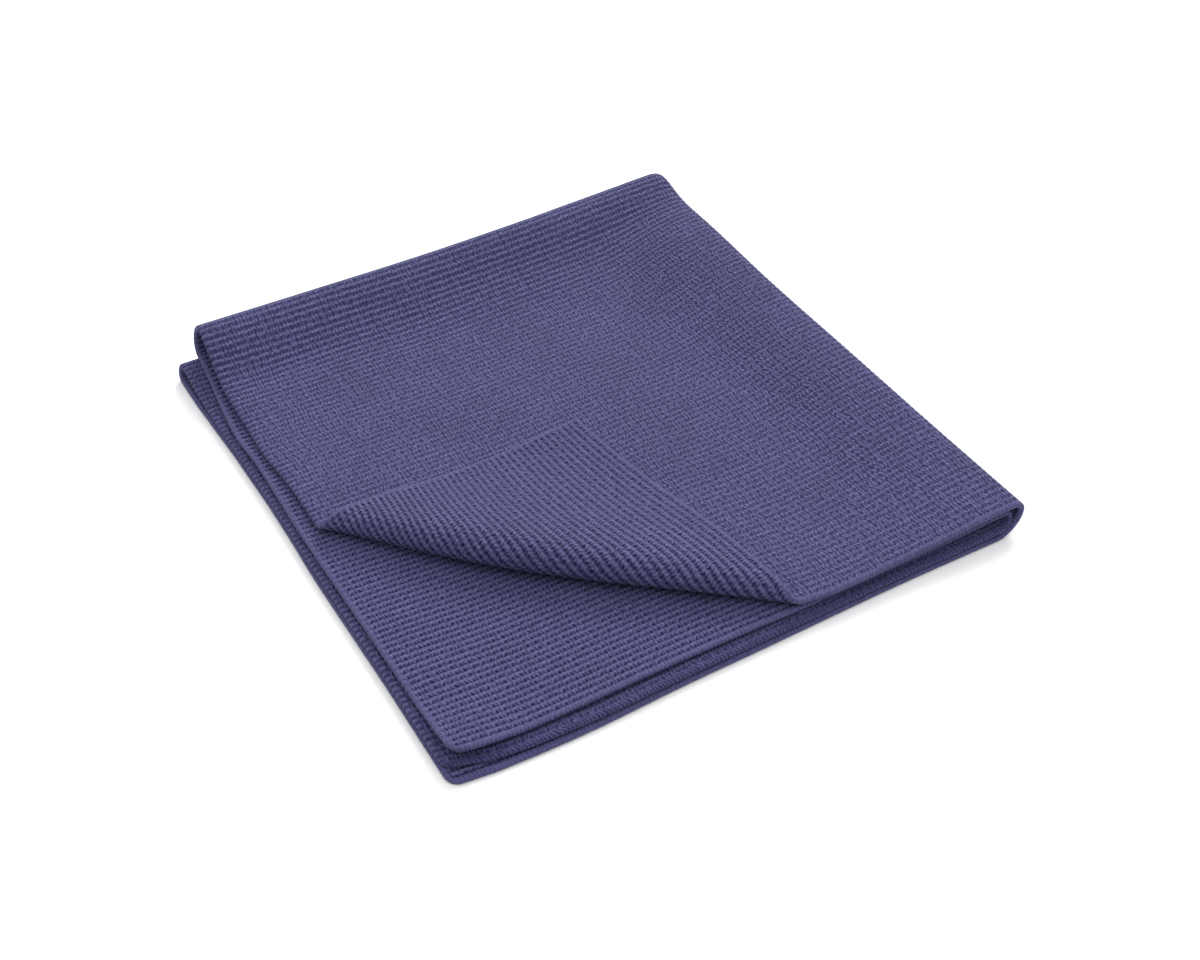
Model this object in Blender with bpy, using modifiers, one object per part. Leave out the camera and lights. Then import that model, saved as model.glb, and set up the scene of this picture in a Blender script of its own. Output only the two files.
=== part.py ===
# A square microfibre cloth, folded in quarters, with the free corner of its top layer turned back.
# Sizes are in millimetres and are written to the model in metres. The fold corner that is open on
# both sides is the front corner; +X runs from it along the front edges to the right fold, and +Y
# runs from it along the left edges to the back fold. The cloth lies on z = 0.
#
# The flat cloth is a square sheet with the coordinates m and n, both zero at its centre, where the
# two folds cross. Positive n is the outer half of the back fold and positive m is the upper half of
# the right fold, so the four quarters are these layers, from the top down:
#   top m > 0, n > 0    second m > 0, n < 0    third m < 0, n < 0    lowest m < 0, n > 0

from collections import namedtuple

import bmesh
import bpy
import numpy as np

MM = 0.001
HALF_SIDE = 200.0  # half of the flat cloth
THICKNESS = 1.75
PITCH = 2.15  # from one layer's middle to the next where the stack lies flat
LAYERS = ("lowest", "third", "second", "top")
CORNER_RADIUS = {"top": 2.5, "second": 3.6, "third": 4.0, "lowest": 4.5}

# Back fold: how far each layer rises above the flat stack, by the distance y towards the fold.
Back = namedtuple("Back", "y top second third")
BACK = (
    Back(45, 0.0, 0.0, 0.0),
    Back(58, 0.4, 0.1, 0.0),
    Back(68, 1.7, 0.5, 0.3),
    Back(77, 3.8, 1.2, 0.9),
    Back(85, 6.9, 2.1, 1.9),
    Back(91, 9.9, 2.9, 2.8),
    Back(97, 12.0, 3.3, 3.2),
)
# Where the back fold's loops begin to turn, along x, and how far they reach past that.
Crest = namedtuple("Crest", "x upper lower upper_reach lower_reach")
CREST = (
    Crest(-98, 97.2, 97.3, 4.2, 2.8),
    Crest(-50, 97.0, 97.3, 4.2, 2.8),
    Crest(0, 97.1, 97.3, 4.2, 2.8),
    Crest(35, 98.3, 97.8, 4.2, 2.8),
    Crest(65, 99.8, 98.2, 4.2, 2.8),
    Crest(90, 98.6, 98.2, 4.2, 2.8),
)
# Right fold, along y: its crest, the reach of its loop, how far inside the crest the inner layers
# turn, and how far each layer rises to it.
Right = namedtuple("Right", "y crest reach inner top second third")
RIGHT = (
    Right(-100, 94.4, 5.2, 2.7, 2.8, 2.4, 0.5),
    Right(-85, 93.8, 5.3, 2.7, 4.0, 3.2, 0.6),
    Right(-60, 92.4, 5.6, 2.6, 6.0, 4.2, 0.8),
    Right(-20, 90.4, 6.0, 2.4, 8.2, 5.6, 1.4),
    Right(30, 89.4, 6.2, 2.6, 9.2, 5.8, 1.6),
    Right(70, 89.0, 6.3, 3.2, 10.9, 6.0, 2.0),
    Right(97, 87.2, 6.3, 4.6, 10.0, 6.4, 3.4),
)
RISE_START = {"top": 38.0, "second": 50.0, "third": 68.0}  # x where the rise to the right fold starts
RISE_LATE = 1.15  # above 1 the rise is steeper near the fold
UNDER = 6.4  # the lowest layer leaves the surface this far inside the crest
INNER_UNDER = 2.4  # the same for the third layer, inside the second
INNER_REACH = 0.45  # the inner loop's share of the reach
# Left free edges, along y: x of each layer.
Left = namedtuple("Left", "y top second third lowest")
LEFT = (
    Left(-101, -94.0, -93.0, -95.6, -96.0),
    Left(-80, -93.0, -93.0, -95.6, -96.0),
    Left(-60, -92.0, -93.2, -95.6, -96.0),
    Left(-30, -90.5, -93.7, -95.8, -96.4),
    Left(-10, -89.4, -94.0, -96.0, -96.6),
    Left(8, -89.2, -94.1, -95.9, -96.3),
    Left(27, -89.5, -93.8, -95.9, -96.3),
    Left(40, -90.6, -93.8, -96.2, -96.6),
    Left(55, -90.4, -94.5, -96.6, -97.0),
    Left(70, -90.5, -93.6, -97.0, -97.7),
    Left(85, -90.0, -92.2, -97.2, -98.3),
    Left(100, -89.4, -91.2, -97.2, -98.4),
)
# Front free edges, along x: y of each layer.
Front = namedtuple("Front", "x top second third lowest")
FRONT = (
    Front(-96, -99.0, -96.6, -95.8, -100.4),
    Front(-82, -99.0, -96.6, -99.3, -101.5),
    Front(-60, -99.0, -96.8, -100.9, -102.2),
    Front(-20, -98.8, -96.6, -100.5, -101.4),
    Front(17, -98.4, -97.2, -100.3, -101.0),
    Front(50, -98.0, -97.2, -99.8, -100.5),
    Front(95, -98.6, -98.0, -99.8, -100.8),
)
# The second layer curls up a little at the front corner.
CURL_AT = (-94.0, -97.0)
CURL_RISE = 2.8
CURL_SPREAD = 26.0
# Arc of cloth on each side of a fold line that is used up by the turn of the fold.
BACK_TURN = 8.0
RIGHT_TURN = {"outer": 9.0, "inner": 5.0}
# The turned-back corner rolls over the line between these two points of the top layer. Along that
# line: how far behind it the cloth leaves the layer below, and the radius of the roll.
ROLL_LEFT = np.array((-88.7, 0.8))
ROLL_RIGHT = np.array((16.7, -96.9))
Roll = namedtuple("Roll", "along line radius")
ROLL = (
    Roll(0, 1.8, 1.7),
    Roll(20, 0.8, 2.0),
    Roll(32, 0.0, 2.6),
    Roll(48, -0.4, 3.6),
    Roll(64, -0.5, 3.9),
    Roll(86, -0.6, 3.6),
    Roll(104, -0.2, 2.8),
    Roll(120, 0.4, 2.2),
    Roll(144, 1.6, 1.7),
)
FLAP_REST = 2.4  # height of the flap's middle above the top layer's middle, where it has settled
FLAP_SETTLES = 30.0  # behind the roll

# Grid lines of the flat sheet, by their distance from a fold line.
TURN_LINES = (0.0, 1.5, 3.0, 4.5, 6.0, 8.0, 10.0)
ACROSS_LINES = (14, 19, 25, 32, 39, 48, 58, 70, 83, 97, 111, 127, 143, 159, 175, 188)
# The strip of the sheet that rolls over has its own grid, square to the roll's line. It starts this
# far past the line, negative being behind it. Its columns are shifted along the line so that none
# meets the sheet's own grid at a sliver.
STRIP_START = -1.2
STRIP_ROW = 1.1
STRIP_ROWS = 15
STRIP_COLUMN = 6.6
STRIP_SHIFT = 4.0


def ease(value):
    """0 to 1 with level ends."""
    t = np.clip(value, 0, 1)
    return t * t * (3 - 2 * t)


def curve(value, rows, column):
    """A smooth curve through one column of a table, by the table's first column."""
    xs = np.array([row[0] for row in rows], float)
    ys = np.array([getattr(row, column) for row in rows], float)
    slopes = np.gradient(ys, xs)
    slopes[0] = slopes[-1] = 0
    value = np.clip(value, xs[0], xs[-1])
    i = np.clip(np.searchsorted(xs, value, side="right") - 1, 0, len(xs) - 2)
    span = xs[i + 1] - xs[i]
    t = (value - xs[i]) / span
    start = (1 + 2 * t) * (1 - t) ** 2 * ys[i] + t * (1 - t) ** 2 * span * slopes[i]
    end = t * t * (3 - 2 * t) * ys[i + 1] - t * t * (1 - t) * span * slopes[i + 1]
    return start + end


def height(x, y, layer):
    """Height of the middle of a layer above the surface."""
    flat = THICKNESS / 2 + PITCH * LAYERS.index(layer) + 0 * x
    if layer == "lowest":
        return flat
    back = np.maximum(curve(y, BACK, layer), 0)
    start = RISE_START[layer]
    across = np.clip((x - start) / (curve(y, RIGHT, "crest") - start), 0, 1)
    right = curve(y, RIGHT, layer) * ease(across**RISE_LATE)
    z = flat + np.cbrt(back**3 + right**3)
    if layer == "second":
        away = np.hypot(x - CURL_AT[0], y - CURL_AT[1])
        z = z + CURL_RISE * (1 - ease(away / CURL_SPREAD))
    return z


def round_corner(from_left, from_front, radius):
    """Distances from a layer's two free edges, drawn in where they meet at its corner."""
    a = np.clip(1 - from_left / radius, 0, 1)
    b = np.clip(1 - from_front / radius, 0, 1)
    inside = (a > 0) & (b > 0)
    left = np.where(inside, radius * (1 - a * np.sqrt(1 - b * b / 2)), from_left)
    front = np.where(inside, radius * (1 - b * np.sqrt(1 - a * a / 2)), from_front)
    return left, front


def turn_back(x, y):
    """The top layer after its free corner is rolled over and laid back on it."""
    along = (ROLL_RIGHT - ROLL_LEFT) / np.hypot(*(ROLL_RIGHT - ROLL_LEFT))
    behind = np.array((-along[1], along[0]))
    s = (x - ROLL_LEFT[0]) * along[0] + (y - ROLL_LEFT[1]) * along[1]
    w = (x - ROLL_LEFT[0]) * behind[0] + (y - ROLL_LEFT[1]) * behind[1]
    line = curve(s, ROLL, "line")
    radius = curve(s, ROLL, "radius")
    past = np.maximum(line - w, 0)
    angle = np.clip(past / radius, 0, np.pi)
    laid = np.maximum(past - np.pi * radius, 0)
    w = np.where(past > 0, line - radius * np.sin(angle) + laid, w)
    rise = radius * (1 - np.cos(angle))
    rise = rise + (FLAP_REST - 2 * radius) * ease(laid / FLAP_SETTLES)
    x = ROLL_LEFT[0] + s * along[0] + w * behind[0]
    y = ROLL_LEFT[1] + s * along[1] + w * behind[1]
    return x, y, height(x, y, "top") + rise


def turn_inside(y, layer):
    """How far inside the right fold's crest a layer starts to turn."""
    if layer == "top":
        return 0
    if layer == "lowest":
        return UNDER
    return curve(y, RIGHT, "inner") + (INNER_UNDER if layer == "third" else 0)


def layer_point(layer, pair, from_right, from_back):
    """A point of one layer from its share of the way to the left and the front free edge."""
    x = np.zeros_like(from_right)
    for _ in range(4):
        crest_y = curve(x, CREST, pair)
        front = curve(x, FRONT, layer)
        y = crest_y + (front - crest_y) * from_back
        crest_x = curve(y, RIGHT, "crest") - turn_inside(y, layer)
        left = curve(y, LEFT, layer)
        x = crest_x + (left - crest_x) * from_right
    dx, dy = round_corner(x - left, y - front, CORNER_RADIUS[layer])
    x, y = left + dx, front + dy
    return turn_back(x, y) if layer == "top" else (x, y, height(x, y, layer))


def pair_point(pair, from_right, n, outer):
    """A point of the upper or the lower pair of layers, which the back fold's loop joins."""
    names = ("top", "second") if pair == "upper" else ("lowest", "third")
    from_back = np.clip((np.abs(n) - BACK_TURN) / (HALF_SIDE - BACK_TURN), 0, 1)
    first = layer_point(names[0], pair, from_right, np.where(n > 0, from_back, 0))
    second = layer_point(names[1], pair, from_right, np.where(n < 0, from_back, 0))
    x, y, z = (b + (a - b) * outer for a, b in zip(first, second))
    turn = np.cos(np.clip(n / BACK_TURN, -1, 1) * np.pi / 2)
    return x, y + curve(x, CREST, pair + "_reach") * turn, z


def folded(m, n):
    """Where a point of the flat sheet lies in the folded cloth."""
    outer = (1 + np.sin(np.clip(n / BACK_TURN, -1, 1) * np.pi / 2)) / 2
    turn = RIGHT_TURN["inner"] + (RIGHT_TURN["outer"] - RIGHT_TURN["inner"]) * outer
    angle = np.clip(m / turn, -1, 1) * np.pi / 2
    from_right = np.clip((np.abs(m) - turn) / (HALF_SIDE - turn), 0, 1)
    upper = pair_point("upper", from_right, n, outer)
    lower = pair_point("lower", from_right, n, outer)
    share = (1 + np.sin(angle)) / 2
    x, y, z = (b + (a - b) * share for a, b in zip(upper, lower))
    middle = (upper[1] + lower[1]) / 2
    reach = curve(middle, RIGHT, "reach") * (INNER_REACH + (1 - INNER_REACH) * outer)
    x = x + reach * np.cos(angle)
    return np.stack((x, y, z), axis=-1)


def grid_lines():
    """The sheet's grid lines on both sides of a fold line, lowest first."""
    half = [*TURN_LINES, *ACROSS_LINES, HALF_SIDE]
    return [-line for line in reversed(half)] + half[1:]


def cut(sheet, faces, point, across):
    """Cuts these faces of the flat sheet along the line through a point."""
    edges = {e for f in faces for e in f.edges}
    verts = {v for f in faces for v in f.verts}
    bmesh.ops.bisect_plane(
        sheet, geom=[*verts, *edges, *faces], dist=0.0001, plane_co=(*point, 0), plane_no=(*across, 0)
    )


def roll_line():
    """The roll's line in the flat sheet's coordinates: its left end, its right end, and the
    direction from it to the free corner."""
    ends = []
    for x, y in (ROLL_LEFT, ROLL_RIGHT):
        turn = RIGHT_TURN["outer"]
        right = curve(y, RIGHT, "crest")
        back = curve(x, CREST, "upper")
        m = (right - x) / (right - curve(y, LEFT, "top"))
        n = (back - y) / (back - curve(x, FRONT, "top"))
        ends.append((turn + (HALF_SIDE - turn) * m, BACK_TURN + (HALF_SIDE - BACK_TURN) * n))
    left, right = np.array(ends)
    along = (right - left) / np.hypot(*(right - left))
    return left, right, np.array((-along[1], along[0])) * np.sign(along[0] - along[1])


def flat_sheet():
    """The square sheet, with a finer grid at its folds and a strip of its own along the roll."""
    sheet = bmesh.new()
    bmesh.ops.create_grid(sheet, x_segments=1, y_segments=1, size=HALF_SIDE)
    edge = TURN_LINES[-1]
    cut(sheet, list(sheet.faces), (edge, 0), (1, 0))
    cut(sheet, list(sheet.faces), (0, edge), (0, 1))
    left, right, to_corner = roll_line()

    def faces_between(low, high):
        """Faces of the top layer whose middles lie this far in front of the roll's line."""
        found = []
        for face in sheet.faces:
            middle = np.array(face.calc_center_median()[:2])
            past = (middle - left) @ to_corner
            if middle.min() > edge and low < past < high:
                found.append(face)
        return found

    strip_end = STRIP_START + STRIP_ROW * STRIP_ROWS
    for past in (STRIP_START, strip_end):
        cut(sheet, faces_between(-HALF_SIDE * 2, HALF_SIDE * 2), left + to_corner * past, to_corner)
    strip = set(faces_between(STRIP_START, strip_end))
    for line in grid_lines():
        for across in ((1, 0), (0, 1)):
            others = [face for face in sheet.faces if face not in strip]
            cut(sheet, others, np.array(across) * line, across)
    for row in range(1, STRIP_ROWS):
        past = STRIP_START + STRIP_ROW * row
        cut(sheet, faces_between(STRIP_START, strip_end), left + to_corner * past, to_corner)
    along = (right - left) / np.hypot(*(right - left))
    for column in range(int(2 * HALF_SIDE / STRIP_COLUMN)):
        point = left + along * (STRIP_COLUMN * (column - 4) + STRIP_SHIFT)
        cut(sheet, faces_between(STRIP_START, strip_end), point, along)
    bmesh.ops.triangulate(sheet, faces=sheet.faces)
    return sheet


def cloth_material():
    material = bpy.data.materials.new("cloth")
    material.use_nodes = True
    surface = material.node_tree.nodes["Principled BSDF"]
    surface.inputs["Base Color"].default_value = (0.128, 0.122, 0.268, 1)
    surface.inputs["Roughness"].default_value = 0.9
    surface.inputs["Metallic"].default_value = 0
    return material


def main():
    for leftover in list(bpy.data.objects):
        bpy.data.objects.remove(leftover, do_unlink=True)
    sheet = flat_sheet()
    sheet.verts.ensure_lookup_table()
    flat = np.array([vertex.co[:2] for vertex in sheet.verts])
    points = folded(flat[:, 0], flat[:, 1])
    # The origin is under the middle of the folded cloth, on the surface that it lies on. At the two
    # folds the cloth reaches half its thickness past its middle surface.
    points[:, :2] -= (points[:, :2].max(0) + THICKNESS / 2 + points[:, :2].min(0)) / 2
    for vertex, point in zip(sheet.verts, points):
        vertex.co = point * MM
    mesh = bpy.data.meshes.new("cloth")
    sheet.to_mesh(mesh)
    sheet.free()
    mesh.materials.append(cloth_material())
    cloth = bpy.data.objects.new("cloth", mesh)
    shell = cloth.modifiers.new("thickness", "SOLIDIFY")
    shell.thickness = THICKNESS * MM
    shell.offset = 0
    collection = bpy.data.collections.new("microfibre_cloth")
    bpy.context.scene.collection.children.link(collection)
    collection.objects.link(cloth)


main()
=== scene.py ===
# A square microfibre cloth, folded in quarters, with the free corner of its top layer turned back.
# Sizes are in millimetres and are written to the model in metres. The fold corner that is open on
# both sides is the front corner; +X runs from it along the front edges to the right fold, and +Y
# runs from it along the left edges to the back fold. The cloth lies on z = 0.
#
# The flat cloth is a square sheet with the coordinates m and n, both zero at its centre, where the
# two folds cross. Positive n is the outer half of the back fold and positive m is the upper half of
# the right fold, so the four quarters are these layers, from the top down:
#   top m > 0, n > 0    second m > 0, n < 0    third m < 0, n < 0    lowest m < 0, n > 0
# The pillow side of the knit is outward all round the folds; the ribbed side is inward, and shows
# on the turned-back corner and on the second layer.

from collections import namedtuple
from math import radians

import bpy
import numpy as np
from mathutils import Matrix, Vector


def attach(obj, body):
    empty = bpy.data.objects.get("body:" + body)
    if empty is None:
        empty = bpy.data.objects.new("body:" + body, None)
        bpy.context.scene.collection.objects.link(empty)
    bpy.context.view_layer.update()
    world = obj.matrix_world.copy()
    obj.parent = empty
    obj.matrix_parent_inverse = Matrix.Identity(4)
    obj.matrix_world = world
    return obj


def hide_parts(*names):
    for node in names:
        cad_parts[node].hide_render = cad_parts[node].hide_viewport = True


MM = 0.001
HALF_SIDE = 200.0  # half of the flat cloth
THICKNESS = 1.75
PITCH = 2.15  # from one layer's middle to the next where the stack lies flat
LAYERS = ("lowest", "third", "second", "top")
CORNER_RADIUS = {"top": 2.5, "second": 5.4, "third": 4.0, "lowest": 4.5}

# Back fold: how far each layer rises above the flat stack, by the distance y towards the fold.
Back = namedtuple("Back", "y top second third")
BACK = (
    Back(45, 0.0, 0.0, 0.0),
    Back(58, 0.4, 0.1, 0.0),
    Back(68, 1.7, 0.5, 0.3),
    Back(77, 3.8, 1.2, 0.9),
    Back(85, 6.9, 2.1, 1.9),
    Back(91, 9.9, 2.9, 2.8),
    Back(97, 12.0, 3.3, 3.2),
)
# Where the back fold's loops begin to turn, along x, and how far they reach past that.
Crest = namedtuple("Crest", "x upper lower upper_reach lower_reach")
CREST = (
    Crest(-98, 97.2, 97.3, 4.2, 2.8),
    Crest(-50, 96.7, 97.3, 4.2, 2.8),
    Crest(0, 96.6, 97.3, 4.2, 2.8),
    Crest(35, 97.8, 97.8, 4.2, 2.8),
    Crest(65, 99.3, 98.2, 4.2, 2.8),
    Crest(90, 98.2, 98.2, 4.2, 2.8),
)
# Right fold, along y: its crest, the reach of its loop, how far inside the crest the inner layers
# turn, and how far each layer rises to it.
Right = namedtuple("Right", "y crest reach inner top second third")
RIGHT = (
    Right(-100, 95.6, 5.2, 2.7, 2.8, 2.4, 0.5),
    Right(-85, 94.4, 5.3, 2.7, 4.0, 3.2, 0.6),
    Right(-60, 92.4, 5.6, 2.6, 6.0, 4.2, 0.8),
    Right(-20, 90.4, 6.0, 2.4, 8.2, 5.6, 1.4),
    Right(30, 89.4, 6.2, 2.6, 9.2, 5.8, 1.6),
    Right(70, 89.0, 6.3, 3.2, 10.9, 6.0, 2.0),
    Right(97, 89.0, 6.3, 4.6, 10.0, 6.4, 3.4),
)
RISE_START = {"top": 38.0, "second": 50.0, "third": 68.0}  # x where the rise starts
RISE_LATE = 1.15  # above 1 the rise is steeper near the fold
UNDER = 6.4  # the lowest layer leaves the surface this far inside the crest
INNER_UNDER = 2.4  # the same for the third layer, inside the second
INNER_REACH = 0.45  # the inner loop's share of the reach
# Left free edges, along y: x of each layer.
Left = namedtuple("Left", "y top second third lowest")
LEFT = (
    Left(-101, -94.0, -93.0, -95.6, -96.0),
    Left(-80, -93.0, -93.0, -95.6, -96.0),
    Left(-60, -92.0, -93.2, -95.6, -96.0),
    Left(-30, -90.5, -93.7, -95.8, -96.4),
    Left(-10, -89.4, -94.0, -96.0, -96.6),
    Left(8, -89.2, -94.1, -95.9, -96.3),
    Left(27, -89.5, -93.8, -95.9, -96.3),
    Left(40, -90.6, -93.8, -96.2, -96.6),
    Left(55, -90.4, -94.5, -96.6, -97.0),
    Left(70, -90.5, -93.6, -97.0, -97.7),
    Left(85, -90.0, -92.2, -97.2, -98.3),
    Left(100, -89.4, -91.2, -97.2, -98.4),
)
# Front free edges, along x: y of each layer.
Front = namedtuple("Front", "x top second third lowest")
FRONT = (
    Front(-96, -99.0, -96.6, -95.8, -100.4),
    Front(-82, -99.0, -96.6, -99.3, -101.5),
    Front(-60, -99.4, -96.8, -100.9, -102.2),
    Front(-20, -99.8, -96.6, -100.4, -101.1),
    Front(2, -97.6, -96.9, -100.2, -100.9),
    Front(17, -96.8, -97.2, -100.1, -100.6),
    Front(28, -98.0, -97.2, -100.0, -100.4),
    Front(50, -98.1, -97.2, -99.8, -100.1),
    Front(95, -98.6, -98.0, -100.2, -100.4),
)
# The second layer curls up a little at the front corner.
CURL_AT = (-94.0, -97.0)
CURL_RISE = 2.8
CURL_SPREAD = 26.0
# Its rows also bow up towards the left edge, except near the front edge and the back fold.
ROW_BOW = 1.8
BOW_START = -58.0
BOW_END = 60.0
BOW_SPREAD = 36.0
# Arc of cloth on each side of a fold line that is used up by the turn of the fold.
BACK_TURN = 8.0
RIGHT_TURN = {"outer": 9.0, "inner": 5.0}
SETTLING = 4  # rounds in which a point's two coordinates settle
# The turned-back corner rolls over the line between these two points of the top layer. Along that
# line: how far behind it the cloth starts to turn up, the radius of the roll, and how far the roll
# is lifted off the layer below.
ROLL_LEFT = np.array((-88.7, 0.8))
ROLL_RIGHT = np.array((16.7, -96.9))
Roll = namedtuple("Roll", "along line radius lift")
ROLL = (
    Roll(0, 2.4, 2.3, 0.1),
    Roll(20, 0.7, 2.9, 0.7),
    Roll(32, -0.8, 3.2, 1.1),
    Roll(48, -1.9, 3.5, 1.3),
    Roll(64, -2.1, 3.6, 1.3),
    Roll(86, -1.5, 3.5, 1.3),
    Roll(104, -0.2, 3.3, 1.1),
    Roll(120, 1.0, 2.9, 0.8),
    Roll(144, 2.5, 2.0, 0.0),
)
LIFT_SPREAD = 22.0  # behind the roll
LIFT_SLACK = 2.2  # cloth that the lifted roll brings forward, for each millimetre of its lift
FLAP_REST = 2.4  # height of the flap's middle above the top layer's middle, where it has settled
FLAP_SETTLES = 44.0  # behind the roll
FLAP_EARLY = 0.75  # below 1 the flap falls sooner behind the roll's crest
# The roll's section as shares of its radius: its foot, how far it goes up from there, and how far
# back its crest lies.
ROLL_FOOT = 0.95
ROLL_UP = 1.25
ROLL_BACK = 1.7
ROLL_POINTS = 40  # on each half of the section
# Soft troughs in the top layer: middle, half length, half width, depth, and turn from the x axis.
# A depth below zero is a soft ridge.
Trough = namedtuple("Trough", "x y long wide deep turn")
TROUGHS = (
    Trough(-76, 76, 24, 9, 1.4, 0),
    Trough(-22, 71, 30, 9, 0.8, -8),
    Trough(61, -18, 55, 9, 1.0, 90),
    Trough(43, 62, 24, 10, -0.4, -45),
)

# The knit, in the flat sheet's coordinates.
ROWS = 93  # knitted rows from a fold line to a free edge
COLUMNS = 77  # stitch columns from a fold line to a free edge
ROW = HALF_SIDE / ROWS
COLUMN = HALF_SIDE / COLUMNS
ROW_SAMPLES = 3  # lines of vertices to a row; the first lies in its groove
PILLOW_GROOVE = 0.12  # depth of the groove between rows on the pillow side
ROW_END_GROOVE = 0.42  # the same where the rows end at the side edges
RIB_GROOVE = 0.36  # depth of the groove between ribs on the ribbed side
RIB_CROWN = 0.08  # how far the ribs stand above the sheet's thickness
EDGE_ROUND = 0.9  # the free edges are rounded over this width
EDGE_FLAT = 0.35  # share of the thickness that is left at the very edge
BORDER = 1.7  # width of the border along the free edges

# Noises of the knit, over the flat sheet's millimetres. The shift keeps one apart from another.
Noise = namedtuple("Noise", "scale detail shift", defaults=(2.0, 0.0))
WANDER = Noise(0.38)  # the rows stray by it
DRIFT = Noise(0.50, 1.0)  # the columns stray by these two, the first from row to row
SWAY = Noise(0.09)
UNEVEN = Noise(0.22, shift=13.0)  # where rows are stronger than columns
PATCHY = Noise(0.30, shift=91.0)  # where stitches are stronger
LUMPS = Noise(0.80, 1.0, 31.0)
FIBRE = Noise(2.4, 3.0)
CLOUDS = Noise(0.03)
MOST_NOISE = (0.32, 0.68)  # the range that is spread over 0 to 1
DRIFT_STRETCH = (0.3, 1.0, 1.0)  # the drift is long along the rows
RIB_WANDER = 0.40  # how far rows stray, in rows
PILLOW_WANDER = 0.55
COLUMN_DRIFT = 0.95  # how far columns stray, in columns
COLUMN_SWAY = 1.2

# The knit's height, from about 0 in its grooves to 1, is a sum of waves over the rows, the columns,
# the half columns and three slants, and of lumps in the yarn. Two numbers are a strength that
# changes over the cloth: what it gains by the change, and where it starts.
KNIT_LEVEL = 0.54
Waves = namedtuple("Waves", "row column half back_slant slant steep lumps")
RIB_WAVES = Waves((0.13, 0.285), 0.05, (0.12, 0.13), 0.07, 0.09, 0.07, 0.85)
PILLOW_WAVES = Waves((0.16, 0.18), (-0.10, 0.21), (0.20, 0.18), 0.14, 0.07, 0.07, 1.1)
RIB_FLAT = 0.07  # flattens the ribs, which leaves narrow grooves
RIB_PUSH_AT = 0.25  # where in its column a stitch pushes the grooves most
RIB_PUSH = (0.05, 0.03)  # how far, in rows: in each column, and in each half column
ROLL_OPENS = (12.0, 34.0)  # the ribs are open up to the first of these past the roll's line
SECOND_OPENS = 0.5  # how far open they are on the second layer
STITCH_OPENS = (0.6, 0.7)  # stitches are stronger where the ribs are open
BACK_OPENS = (20.0, 55.0)  # the same for the pillow side's rows, from the back fold line
BACK_GAIN = 0.12
PILLOW_FLOOR = (0.14, 0.30)  # the lowest height between cushions, and how softly it is met
FOLD_LINE = (-1.0, 1.0)  # what differs between the back fold's halves changes within these n

# The border: the shares of its width between which it fades out, and its own height, which is a
# level, one or two waves, and lumps.
BORDER_FADE = (0.55, 1.05)
Border = namedtuple("Border", "level wave second lumps", defaults=(None, None))
RIB_SIDE = Border(0.77, 0.10, 0.08)
RIB_END = Border(0.75, 0.12, lumps=0.5)
PILLOW_SIDE = Border(0.56, 0.34, lumps=0.6)
PILLOW_END = Border((-0.34, 0.74), (0.16, 0.10), 0.05, 0.6)
END_SLANT = 0.5  # the pillow side's end stitches lean by this many half columns a millimetre

# The knit's colour runs from the yarn's on its crowns to a darker, bluer one in its grooves, by the
# knit's height; that darkening is painted shade.
PAINTED_GROOVE_SHADE = (0.008, 0.0077, 0.056, 1)
YARN_COLOUR = (0.160, 0.156, 0.338, 1)
SHADE = (0.50, 0.23)  # from the painted groove shade to the yarn's colour: what the height gives, and the start
SHADE_POWER = 1.8
FUZZ = 0.3  # the fibres' share of the shade
FIBRE_RELIEF = 0.30  # their share of the bump's height
CLOUD_TONE = (0.3, 0.7, 0.95, 1.05)  # from this noise to that one, from this tone to that one
BUMP_STRENGTH = 0.75
BUMP_DEPTH = 0.5
ROUGHNESS = (0.98, 0.84)  # in the grooves and on the yarn
KNIT_FINISH = {
    "Specular IOR Level": 0.25,
    "Sheen Weight": 0.10,
    "Sheen Roughness": 0.5,
    "Sheen Tint": (0.80, 0.80, 1.0, 1),
}

# Lines of vertices across the rows, by their distance from the right fold line: the turn of the
# fold, the upper layers, the lower layers, and the free edge.
TURN_ACROSS = (0.0, 1.2, 2.4, 3.6, 4.8, 6.0, 7.5, 9.0, 11.0)
UPPER_STEP = 5.6
LOWER_STEP = 10.5
EDGE_ACROSS = (2.6, 1.7, 0.9, 0.3, 0.0)  # distances from the free edge
STRIP_START = -1.5  # the roll has closer lines of its own, from this far past its line
STRIP_STEP = 1.15
STRIP_COUNT = 17
STRIP_CLEAR = 0.7  # other lines stay this far from them
STRIP_INSIDE = 1.0  # they stay this far from the turn of the fold
STRIP_EDGE = 0.5  # and from the lines of the free edge

CAMERA_AT = np.array((-200.65, -357.50, 359.21))
CAMERA_TURN = (90 - 42.2, 0, -30.25)
LENS = 50.82
SENSOR = 36.0
SUN_WAY = (-0.58, -0.58, -0.57)  # the way its light goes
SUN_ANGLE = 32
SUN_ENERGY = 2.2
SKY = (0.22, 0.80, 0.08, 1.42)  # from this height to that one, from this strength to that one
FLOOR_HALF = 3.0  # metres
FLOOR_FINISH = {
    "Base Color": (0.95, 0.95, 0.95, 1),
    "Roughness": 0.9,
    "Specular IOR Level": 0.1,
}


def ease(value):
    """0 to 1 with level ends."""
    t = np.clip(value, 0, 1)
    return t * t * (3 - 2 * t)


def curve(value, rows, column):
    """A smooth curve through one column of a table, by the table's first column."""
    xs = np.array([row[0] for row in rows], float)
    ys = np.array([getattr(row, column) for row in rows], float)
    slopes = np.gradient(ys, xs)
    slopes[0] = slopes[-1] = 0
    value = np.clip(value, xs[0], xs[-1])
    i = np.clip(np.searchsorted(xs, value, side="right") - 1, 0, len(xs) - 2)
    span = xs[i + 1] - xs[i]
    t = (value - xs[i]) / span
    start = (1 + 2 * t) * (1 - t) ** 2 * ys[i] + t * (1 - t) ** 2 * span * slopes[i]
    end = t * t * (3 - 2 * t) * ys[i + 1] - t * t * (1 - t) * span * slopes[i + 1]
    return start + end


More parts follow.
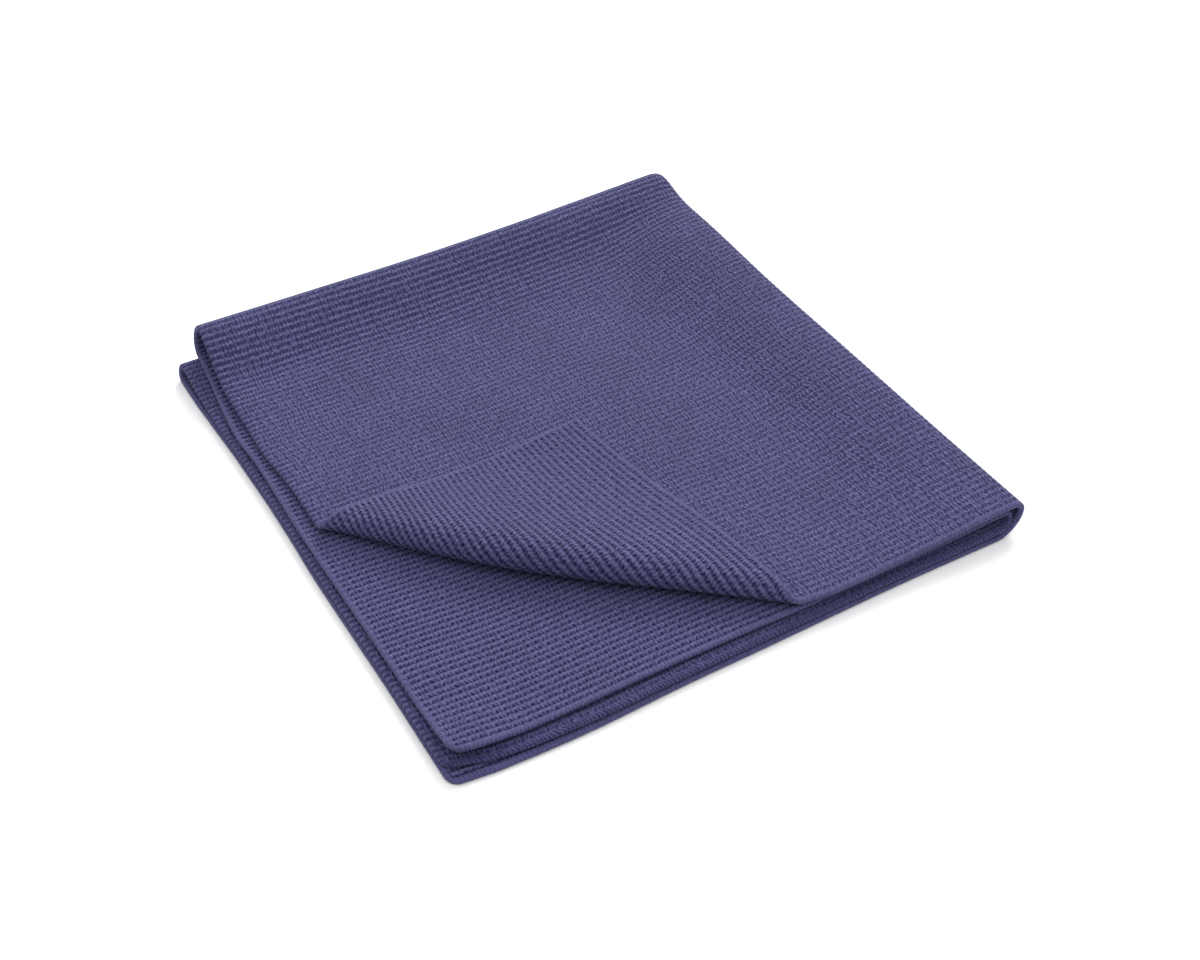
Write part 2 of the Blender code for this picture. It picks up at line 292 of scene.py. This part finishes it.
def height(x, y, layer):
    """Height of the middle of a layer above the surface."""
    flat = np.full_like(x, THICKNESS / 2 + PITCH * LAYERS.index(layer))
    if layer == "lowest":
        return flat
    back = np.maximum(curve(y, BACK, layer), 0)
    start = RISE_START[layer]
    across = np.clip((x - start) / (curve(y, RIGHT, "crest") - start), 0, 1)
    right = curve(y, RIGHT, layer) * ease(across**RISE_LATE)
    z = flat + np.cbrt(back**3 + right**3)
    if layer == "top":
        for trough in TROUGHS:
            turn = radians(trough.turn)
            dx, dy = x - trough.x, y - trough.y
            along = (dx * np.cos(turn) + dy * np.sin(turn)) / trough.long
            across = (dy * np.cos(turn) - dx * np.sin(turn)) / trough.wide
            z = z - trough.deep * np.exp(-(along**2) - across**2)
    if layer == "second":
        away = np.hypot(x - CURL_AT[0], y - CURL_AT[1])
        z = z + CURL_RISE * (1 - ease(away / CURL_SPREAD))
    return z


def round_corner(from_left, from_front, radius):
    """Distances from a layer's two free edges, drawn in where they meet at its corner."""
    a = np.clip(1 - from_left / radius, 0, 1)
    b = np.clip(1 - from_front / radius, 0, 1)
    inside = (a > 0) & (b > 0)
    left = np.where(inside, radius * (1 - a * np.sqrt(1 - b * b / 2)), from_left)
    front = np.where(inside, radius * (1 - b * np.sqrt(1 - a * a / 2)), from_front)
    return left, front


def roll_section(past, radius, slack):
    """The roll's section: how far in front of its line the cloth is, and how high, by the arc past
    the line. It turns up round a small quarter circle and on over a long, low quarter ellipse."""
    turn = np.linspace(0, np.pi / 2, ROLL_POINTS)
    more = turn[1:]
    front = np.concatenate((ROLL_FOOT * np.sin(turn), ROLL_FOOT - ROLL_BACK * (1 - np.cos(more))))
    up = np.concatenate((ROLL_FOOT * (1 - np.cos(turn)), ROLL_FOOT + ROLL_UP * np.sin(more)))
    arc = np.concatenate(((0,), np.cumsum(np.hypot(np.diff(front), np.diff(up)))))
    share = past / radius
    laid = np.maximum(past - arc[-1] * radius, 0)
    # The flap's tip stays where a plain half circle would bring it.
    spare = (np.pi - front[-1] - arc[-1]) * radius - slack
    front = np.interp(share, arc, front) * radius - laid + spare * ease(laid / FLAP_SETTLES)
    high = np.interp(share, arc, up) * radius
    top = (ROLL_FOOT + ROLL_UP) * radius
    settled = ease((laid / FLAP_SETTLES) ** FLAP_EARLY)
    return front, high + (FLAP_REST - top) * settled


def turn_back(x, y):
    """The top layer after its free corner is rolled over and laid back on it."""
    along = (ROLL_RIGHT - ROLL_LEFT) / np.hypot(*(ROLL_RIGHT - ROLL_LEFT))
    behind = np.array((-along[1], along[0]))
    s = (x - ROLL_LEFT[0]) * along[0] + (y - ROLL_LEFT[1]) * along[1]
    w = (x - ROLL_LEFT[0]) * behind[0] + (y - ROLL_LEFT[1]) * behind[1]
    line = curve(s, ROLL, "line")
    lift = curve(s, ROLL, "lift")
    past = np.maximum(line - w, 0)
    front, rise = roll_section(past, curve(s, ROLL, "radius"), LIFT_SLACK * lift)
    w = np.where(past > 0, line - front, w)
    x = ROLL_LEFT[0] + s * along[0] + w * behind[0]
    y = ROLL_LEFT[1] + s * along[1] + w * behind[1]
    rise = np.where(past > 0, rise, 0) + lift * (1 - ease((w - line) / LIFT_SPREAD))
    return x, y, height(x, y, "top") + rise


def turn_inside(y, layer):
    """How far inside the right fold's crest a layer starts to turn."""
    if layer == "top":
        return 0
    if layer == "lowest":
        return UNDER
    return curve(y, RIGHT, "inner") + (INNER_UNDER if layer == "third" else 0)


def layer_point(layer, pair, from_right, from_back):
    """A point of one layer from its share of the way to the left and the front free edge. The ends
    of each way follow the other coordinate, so both are worked out a few times over."""
    x = np.zeros_like(from_right)
    for _ in range(SETTLING):
        crest_y = curve(x, CREST, pair)
        front = curve(x, FRONT, layer)
        y = crest_y + (front - crest_y) * from_back
        crest_x = curve(y, RIGHT, "crest") - turn_inside(y, layer)
        left = curve(y, LEFT, layer)
        x = crest_x + (left - crest_x) * from_right
    if layer == "second":
        bow = ease((BOW_START - x) / BOW_SPREAD) * ease((BOW_END - y) / BOW_SPREAD)
        y = y + ROW_BOW * bow * ease((y - front) / BOW_SPREAD)
    dx, dy = round_corner(x - left, y - front, CORNER_RADIUS[layer])
    x, y = left + dx, front + dy
    return turn_back(x, y) if layer == "top" else (x, y, height(x, y, layer))


def pair_point(pair, from_right, n, outer):
    """A point of the upper or the lower pair of layers, which the back fold's loop joins."""
    names = ("top", "second") if pair == "upper" else ("lowest", "third")
    from_back = np.clip((np.abs(n) - BACK_TURN) / (HALF_SIDE - BACK_TURN), 0, 1)
    first = layer_point(names[0], pair, from_right, np.where(n > 0, from_back, 0))
    second = layer_point(names[1], pair, from_right, np.where(n < 0, from_back, 0))
    x, y, z = (b + (a - b) * outer for a, b in zip(first, second))
    turn = np.cos(np.clip(n / BACK_TURN, -1, 1) * np.pi / 2)
    return x, y + curve(x, CREST, pair + "_reach") * turn, z


def folded(m, n):
    """Where a point of the flat sheet lies in the folded cloth."""
    outer = (1 + np.sin(np.clip(n / BACK_TURN, -1, 1) * np.pi / 2)) / 2
    turn = RIGHT_TURN["inner"] + (RIGHT_TURN["outer"] - RIGHT_TURN["inner"]) * outer
    angle = np.clip(m / turn, -1, 1) * np.pi / 2
    from_right = np.clip((np.abs(m) - turn) / (HALF_SIDE - turn), 0, 1)
    upper = pair_point("upper", from_right, n, outer)
    lower = pair_point("lower", from_right, n, outer)
    share = (1 + np.sin(angle)) / 2
    x, y, z = (b + (a - b) * share for a, b in zip(upper, lower))
    middle = (upper[1] + lower[1]) / 2
    reach = curve(middle, RIGHT, "reach") * (INNER_REACH + (1 - INNER_REACH) * outer)
    x = x + reach * np.cos(angle)
    return np.stack((x, y, z), axis=-1)


def outward(m, n):
    """The pillow side's direction at points of the folded sheet."""
    step = 0.04
    inside = HALF_SIDE
    across = folded(np.minimum(m + step, inside), n) - folded(np.maximum(m - step, -inside), n)
    along = folded(m, np.minimum(n + step, inside)) - folded(m, np.maximum(n - step, -inside))
    normal = np.cross(across, along)
    return normal / np.linalg.norm(normal, axis=-1, keepdims=True)


def roll_line():
    """The roll's line in the flat sheet's coordinates: a point, and the direction from it to the
    free corner."""
    ends = []
    for x, y in (ROLL_LEFT, ROLL_RIGHT):
        turn = RIGHT_TURN["outer"]
        right = curve(y, RIGHT, "crest")
        back = curve(x, CREST, "upper")
        m = (right - x) / (right - curve(y, LEFT, "top"))
        n = (back - y) / (back - curve(x, FRONT, "top"))
        ends.append((turn + (HALF_SIDE - turn) * m, BACK_TURN + (HALF_SIDE - BACK_TURN) * n))
    left, right = np.array(ends)
    along = (right - left) / np.hypot(*(right - left))
    return left, np.array((-along[1], along[0])) * np.sign(along[0] - along[1])


def row_lines():
    """Where the lines of vertices along the rows lie, n from edge to edge."""
    inner = np.arange(-ROWS * ROW_SAMPLES, ROWS * ROW_SAMPLES + 1) * ROW / ROW_SAMPLES
    edge = HALF_SIDE - EDGE_ROUND / 3
    return np.unique(np.round(np.concatenate((inner, (-edge, edge))), 6))


def across_line(n, roll_at, to_corner):
    """Where the vertices of one line lie, m from edge to edge."""
    inner = TURN_ACROSS[-1]
    edge = [HALF_SIDE - far for far in EDGE_ACROSS]
    upper = np.linspace(inner, edge[0], round((edge[0] - inner) / UPPER_STEP))[1:-1]
    lower = np.linspace(inner, edge[0], round((edge[0] - inner) / LOWER_STEP))[1:-1]
    right = np.array([*TURN_ACROSS, *upper, *edge])
    plain = np.concatenate(((*(-x for x in edge), *(-lower), *(-x for x in TURN_ACROSS)), right))
    past = STRIP_START + STRIP_STEP * np.arange(STRIP_COUNT)
    strip = roll_at[0] + (past - (n - roll_at[1]) * to_corner[1]) / to_corner[0]
    if n < 0 or strip[0] > edge[0] - STRIP_INSIDE:
        return np.unique(plain)
    strip = strip[(strip > inner + STRIP_INSIDE) & (strip < edge[0] - STRIP_EDGE)]
    near = (plain > strip[0] - STRIP_CLEAR) & (plain < strip[-1] + STRIP_CLEAR) & (plain < edge[0])
    return np.unique(np.concatenate((plain[~near], strip)))


def stitch(first, second, at):
    """Triangles between two lines of vertices, always by the shorter way across."""
    faces = []
    i = j = 0
    while i < len(first) - 1 or j < len(second) - 1:
        if j == len(second) - 1:
            step_first = True
        elif i == len(first) - 1:
            step_first = False
        else:
            by_first = at[first[i + 1]] - at[second[j]]
            by_second = at[first[i]] - at[second[j + 1]]
            step_first = by_first @ by_first <= by_second @ by_second
        if step_first:
            faces.append((first[i], first[i + 1], second[j]))
            i += 1
        else:
            faces.append((first[i], second[j + 1], second[j]))
            j += 1
    return faces


def sheet_grid():
    """The flat sheet's points, its triangles and its edge, anticlockwise."""
    roll_at, to_corner = roll_line()
    points, lines = [], []
    for n in row_lines():
        across = across_line(n, roll_at, to_corner)
        lines.append(range(len(points), len(points) + len(across)))
        points.extend((m, n) for m in across)
    points = np.array(points)
    faces = []
    for below, above in zip(lines, lines[1:]):
        faces.extend(stitch(below, above, points))
    edge = [*lines[0], *(line[-1] for line in lines[1:]), *reversed(lines[-1][:-1])]
    edge += [line[0] for line in reversed(lines[1:-1])]
    return points, np.array(faces), edge


def offsets(m, n):
    """How far the pillow side and the ribbed side stand off the middle of the sheet."""
    sample = np.abs(n / ROW - np.round(n / ROW))
    groove = 1 - ease(sample * ROW_SAMPLES)
    side = HALF_SIDE - np.abs(m)
    end = HALF_SIDE - np.abs(n)
    roundness = 1.0
    for far in (side, end):
        inward = np.clip(far / EDGE_ROUND, 0, 1)
        roundness = roundness * (EDGE_FLAT + (1 - EDGE_FLAT) * np.sqrt(1 - (1 - inward) ** 2))
    border = ease((np.minimum(side, end) - BORDER / 2) / BORDER)
    row_end = 1 - ease((side - BORDER) / BORDER)
    depth = PILLOW_GROOVE + (ROW_END_GROOVE - PILLOW_GROOVE) * row_end
    pillow = THICKNESS / 2 - depth * groove * np.where(end < ROW / 2, 0, 1)
    ribbed = THICKNESS / 2 + RIB_CROWN - (RIB_GROOVE + RIB_CROWN) * groove * border
    return pillow * roundness, ribbed * roundness


class Nodes:
    """Writes a material's sums as nodes."""

    def __init__(self, material):
        self.tree = material.node_tree

    def new(self, kind, **settings):
        node = self.tree.nodes.new(kind)
        for name, value in settings.items():
            setattr(node, name, value)
        return node

    def fill(self, node, *values):
        for socket, value in zip(node.inputs, values):
            if hasattr(value, "is_output"):
                self.tree.links.new(value, socket)
            else:
                socket.default_value = value

    def sum(self, operation, *values):
        node = self.new("ShaderNodeMath", operation=operation)
        self.fill(node, *values)
        return node.outputs[0]

    def vector(self, operation, *values):
        node = self.new("ShaderNodeVectorMath", operation=operation)
        self.fill(node, *values)
        return node.outputs[0]

    def noise(self, vector, kind):
        if kind.shift:
            vector = self.vector("ADD", vector, (kind.shift, kind.shift, kind.shift))
        node = self.new("ShaderNodeTexNoise")
        self.tree.links.new(vector, node.inputs["Vector"])
        node.inputs["Scale"].default_value = kind.scale
        node.inputs["Detail"].default_value = kind.detail
        return node.outputs["Fac"]

    def stray(self, vector, kind):
        """A noise that goes as far below zero as above."""
        return self.sum("SUBTRACT", self.noise(vector, kind), 0.5)

    def ramp(self, value, low, high, to_low=0.0, to_high=1.0):
        node = self.new("ShaderNodeMapRange", interpolation_type="SMOOTHSTEP")
        self.fill(node, value, low, high, to_low, to_high)
        return node.outputs[0]

    def swell(self, value, *size):
        """Low at whole numbers, where a groove is, and high half way between them."""
        wave = self.sum("COSINE", self.sum("MULTIPLY", value, 2 * np.pi))
        for part in size:
            wave = self.sum("MULTIPLY", wave, part)
        return self.sum("MULTIPLY", wave, -1.0)

    def total(self, first, *more):
        for value in more:
            first = self.sum("ADD", first, value)
        return first

    def line(self, value, slope, start):
        return self.sum("ADD", self.sum("MULTIPLY", value, slope), start)

    def lerp(self, share, first, second):
        change = self.sum("SUBTRACT", second, first)
        return self.sum("ADD", first, self.sum("MULTIPLY", share, change))

    def mix(self, share, first, second):
        node = self.new("ShaderNodeMix", data_type="RGBA")
        for name, value in (("Factor", share), ("A", first), ("B", second)):
            sockets = [s for s in node.inputs if s.name == name and s.enabled]
            if hasattr(value, "is_output"):
                self.tree.links.new(value, sockets[0])
            else:
                sockets[0].default_value = value
        return [s for s in node.outputs if s.enabled][0]


def add(name, data):
    """An object in the scene."""
    thing = bpy.data.objects.new(name, data)
    bpy.context.scene.collection.objects.link(thing)
    return thing


def new_material(name, finish):
    material = bpy.data.materials.new(name)
    material.use_nodes = True
    shader = material.node_tree.nodes["Principled BSDF"]
    for socket, value in finish.items():
        shader.inputs[socket].default_value = value
    return material, shader


def knit_grid(k, flat, m, n, ribbed):
    """Which row, column and half column a point is in, and lumps of the yarn. Rows and columns
    wander a little, as the yarn's tension does."""
    wander = RIB_WANDER if ribbed else PILLOW_WANDER
    row = k.total(k.sum("DIVIDE", n, ROW), k.sum("MULTIPLY", k.stray(flat, WANDER), wander))
    drifting = k.vector("MULTIPLY", flat, DRIFT_STRETCH)
    column = k.total(
        k.sum("DIVIDE", m, COLUMN),
        k.sum("MULTIPLY", k.stray(flat, SWAY), COLUMN_SWAY),
        k.sum("MULTIPLY", k.stray(drifting, DRIFT), COLUMN_DRIFT),
    )
    half = k.sum("MULTIPLY", column, 2.0)
    if ribbed:
        # Each stitch pushes the grooves beside its rib a little out of line.
        push = k.swell(k.sum("ADD", column, RIB_PUSH_AT), RIB_PUSH[0])
        row = k.total(row, push, k.swell(half, RIB_PUSH[1]))
    return row, column, half, k.stray(flat, LUMPS)


def rib_waves(k, grid, patchy, m, n):
    """Ribs with narrow grooves between them, cut into stitches. They open on the roll and close
    where the turned-back corner lies flat."""
    row, column, half, _ = grid
    at, to_corner = roll_line()
    past = k.total(
        k.line(m, to_corner[0], -at[0] * to_corner[0]),
        k.line(n, to_corner[1], -at[1] * to_corner[1]),
    )
    on_corner = k.ramp(past, *ROLL_OPENS, 1.0, 0.0)
    opened = k.lerp(k.ramp(n, *FOLD_LINE), SECOND_OPENS, on_corner)
    return k.total(
        KNIT_LEVEL,
        k.swell(row, k.line(opened, *RIB_WAVES.row)),
        k.swell(k.sum("MULTIPLY", row, 2.0), RIB_FLAT),
        k.swell(column, RIB_WAVES.column),
        k.swell(half, k.line(patchy, *RIB_WAVES.half), k.line(opened, *STITCH_OPENS)),
    )


def pillow_waves(k, grid, patchy, uneven, n):
    """Small cushions, in rows that are stronger here and columns that are stronger there. The rows
    open where the cloth rises to its back fold."""
    row, column, half, _ = grid
    opened = k.ramp(k.sum("ABSOLUTE", n), *BACK_OPENS, 1.0, 0.0)
    rows = k.total(k.line(uneven, *PILLOW_WAVES.row), k.sum("MULTIPLY", opened, BACK_GAIN))
    return k.total(
        KNIT_LEVEL,
        k.swell(row, rows),
        k.swell(column, k.line(uneven, *PILLOW_WAVES.column)),
        k.swell(half, k.line(patchy, *PILLOW_WAVES.half)),
    )


def knit_height(k, flat, grid, m, n, ribbed):
    """The knit's own height, away from the border."""
    row, column, half, lumps = grid
    patchy = k.ramp(k.noise(flat, PATCHY), *MOST_NOISE)
    if ribbed:
        own, waves = rib_waves(k, grid, patchy, m, n), RIB_WAVES
    else:
        uneven = k.ramp(k.noise(flat, UNEVEN), *MOST_NOISE)
        own, waves = pillow_waves(k, grid, patchy, uneven, n), PILLOW_WAVES
    knit = k.total(
        own,
        k.swell(k.sum("SUBTRACT", row, column), waves.back_slant),
        k.swell(k.sum("ADD", row, column), waves.slant),
        k.swell(k.sum("SUBTRACT", row, half), waves.steep),
        k.sum("MULTIPLY", lumps, waves.lumps),
    )
    return knit if ribbed else k.sum("SMOOTH_MAX", knit, *PILLOW_FLOOR)


def with_border(k, knit, grid, m, n, ribbed):
    """A narrow border along the free edges is closed by finer stitches that cross it. Along the
    side edges the rows of the pillow side end in small knobs."""
    row, column, half, lumps = grid
    side = k.sum("SUBTRACT", HALF_SIDE, k.sum("ABSOLUTE", m))
    end = k.sum("SUBTRACT", HALF_SIDE, k.sum("ABSOLUTE", n))
    fade = [BORDER * share for share in BORDER_FADE]
    side_edge, end_edge = (RIB_SIDE, RIB_END) if ribbed else (PILLOW_SIDE, PILLOW_END)
    end_lumps = k.sum("MULTIPLY", lumps, end_edge.lumps)
    if ribbed:
        fine = k.swell(k.sum("MULTIPLY", row, 2.0), side_edge.second)
        side_ticks = k.total(side_edge.level, k.swell(row, side_edge.wave), fine)
        end_ticks = k.total(end_edge.level, k.swell(half, end_edge.wave), end_lumps)
    else:
        side_lumps = k.sum("MULTIPLY", lumps, side_edge.lumps)
        side_ticks = k.total(side_edge.level, k.swell(row, side_edge.wave), side_lumps)
        # The cast-off edge, at negative n, is coarser than the other.
        coarse = k.ramp(n, *FOLD_LINE, 1.0, 0.0)
        leaning = k.sum("ADD", half, k.sum("MULTIPLY", end, END_SLANT))
        end_ticks = k.total(
            k.line(coarse, *end_edge.level),
            k.swell(leaning, k.line(coarse, *end_edge.wave)),
            k.swell(column, end_edge.second),
            end_lumps,
        )
    knit = k.lerp(k.ramp(side, *fade, 1.0, 0.0), knit, side_ticks)
    return k.lerp(k.ramp(end, *fade, 1.0, 0.0), knit, end_ticks)


def knit_material(name, ribbed):
    """One side of the knit. Heights and colours follow the flat sheet's own coordinates; the
    darker, bluer colour in the grooves is painted shade.
    """
    material, shader = new_material(name, KNIT_FINISH)
    k = Nodes(material)
    flat = k.new("ShaderNodeAttribute", attribute_name="flat").outputs["Vector"]
    parts = k.new("ShaderNodeSeparateXYZ")
    k.fill(parts, flat)
    m, n = parts.outputs[0], parts.outputs[1]
    grid = knit_grid(k, flat, m, n, ribbed)
    knit = with_border(k, knit_height(k, flat, grid, m, n, ribbed), grid, m, n, ribbed)

    fibre = k.noise(flat, FIBRE)
    fuzz = k.sum("MULTIPLY", k.sum("SUBTRACT", fibre, 0.5), FUZZ)
    # Painted shade: the colour darkens towards the painted groove shade where the knit's height
    # falls into its grooves.
    shade = k.sum("MAXIMUM", k.sum("ADD", k.line(knit, *SHADE), fuzz), 0.0)
    shade = k.sum("POWER", shade, SHADE_POWER)
    tone = k.new("ShaderNodeVectorMath", operation="SCALE")
    k.tree.links.new(k.mix(shade, PAINTED_GROOVE_SHADE, YARN_COLOUR), tone.inputs[0])
    k.tree.links.new(k.ramp(k.noise(flat, CLOUDS), *CLOUD_TONE), tone.inputs["Scale"])
    k.tree.links.new(tone.outputs[0], shader.inputs["Base Color"])

    bump = k.new("ShaderNodeBump")
    bump.inputs["Strength"].default_value = BUMP_STRENGTH
    bump.inputs["Distance"].default_value = BUMP_DEPTH * MM
    relief = k.sum("ADD", knit, k.sum("MULTIPLY", fibre, FIBRE_RELIEF))
    k.tree.links.new(relief, bump.inputs["Height"])
    k.tree.links.new(bump.outputs["Normal"], shader.inputs["Normal"])
    k.tree.links.new(k.ramp(knit, 0.0, 1.0, *ROUGHNESS), shader.inputs["Roughness"])
    return material


def make_cloth():
    """The folded sheet, closed round its free edges, and its middle on the surface."""
    grid, faces, edge = sheet_grid()
    m, n = grid[:, 0], grid[:, 1]
    middle = folded(m, n)
    centre = (middle[:, :2].max(0) + THICKNESS / 2 + middle[:, :2].min(0)) / 2
    middle[:, :2] -= centre
    normal = outward(m, n)
    pillow, ribbed = offsets(m, n)
    count = len(grid)
    points = np.concatenate((middle + normal * pillow[:, None], middle - normal * ribbed[:, None]))
    edge = np.array(edge)
    follow = np.roll(edge, -1)
    rim = np.concatenate(
        (
            np.stack((follow, edge, edge + count), axis=1),
            np.stack((follow, edge + count, follow + count), axis=1),
        )
    )
    triangles = np.concatenate((faces, faces[:, ::-1] + count, rim))
    mesh = bpy.data.meshes.new("cloth_knit")
    mesh.from_pydata((points * MM).tolist(), [], triangles.tolist())
    flat = mesh.attributes.new("flat", "FLOAT_VECTOR", "POINT")
    both = np.concatenate((grid, grid))
    flat.data.foreach_set("vector", np.column_stack((both, np.zeros(len(both)))).ravel())
    sides = np.zeros(len(triangles), dtype=np.int32)
    sides[len(faces) : 2 * len(faces)] = 1
    mesh.polygons.foreach_set("material_index", sides)
    mesh.materials.append(knit_material("knit_pillow_side", False))
    mesh.materials.append(knit_material("knit_ribbed_side", True))
    mesh.shade_smooth()
    mesh.update()
    return add("cloth_knit", mesh), centre


def make_floor():
    mesh = bpy.data.meshes.new("floor")
    half = FLOOR_HALF
    corners = [(-half, -half, 0), (half, -half, 0), (half, half, 0), (-half, half, 0)]
    mesh.from_pydata(corners, [], [(0, 1, 2, 3)])
    mesh.materials.append(new_material("floor", FLOOR_FINISH)[0])
    add("floor", mesh)


def make_light():
    """One large soft light, behind the cloth and to its right."""
    data = bpy.data.lights.new("key", "SUN")
    data.angle = radians(SUN_ANGLE)
    data.energy = SUN_ENERGY
    light = add("key", data)
    light.rotation_mode = "QUATERNION"
    light.rotation_quaternion = Vector(SUN_WAY).to_track_quat("-Z", "Y")


def make_world():
    """A white sky that is brightest overhead."""
    world = bpy.data.worlds.new("studio")
    world.use_nodes = True
    nodes, links = world.node_tree.nodes, world.node_tree.links
    place = nodes.new("ShaderNodeTexCoord")
    parts = nodes.new("ShaderNodeSeparateXYZ")
    sky = nodes.new("ShaderNodeMapRange")
    for socket, value in zip(sky.inputs[1:5], SKY):
        socket.default_value = value
    links.new(place.outputs["Generated"], parts.inputs[0])
    links.new(parts.outputs["Z"], sky.inputs[0])
    nodes["Background"].inputs["Color"].default_value = (1, 1, 1, 1)
    links.new(sky.outputs[0], nodes["Background"].inputs["Strength"])
    bpy.context.scene.world = world
    bpy.context.scene.view_settings.view_transform = "Standard"


def make_camera(centre):
    data = bpy.data.cameras.new("camera")
    data.lens = LENS
    data.sensor_width = SENSOR
    camera = add("camera", data)
    camera.location = (CAMERA_AT - (*centre, 0)) * MM
    camera.rotation_euler = [radians(angle) for angle in CAMERA_TURN]
    bpy.context.scene.camera = camera


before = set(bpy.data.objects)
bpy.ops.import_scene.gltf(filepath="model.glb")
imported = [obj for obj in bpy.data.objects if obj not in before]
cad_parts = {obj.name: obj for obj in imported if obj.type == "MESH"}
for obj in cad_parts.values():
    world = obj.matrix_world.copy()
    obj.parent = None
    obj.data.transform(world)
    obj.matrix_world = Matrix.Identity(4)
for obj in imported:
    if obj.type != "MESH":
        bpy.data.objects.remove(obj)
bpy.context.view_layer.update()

cloth, centre = make_cloth()
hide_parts("cloth")
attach(cloth, "root")
make_floor()
make_world()
make_camera(centre)
make_light()
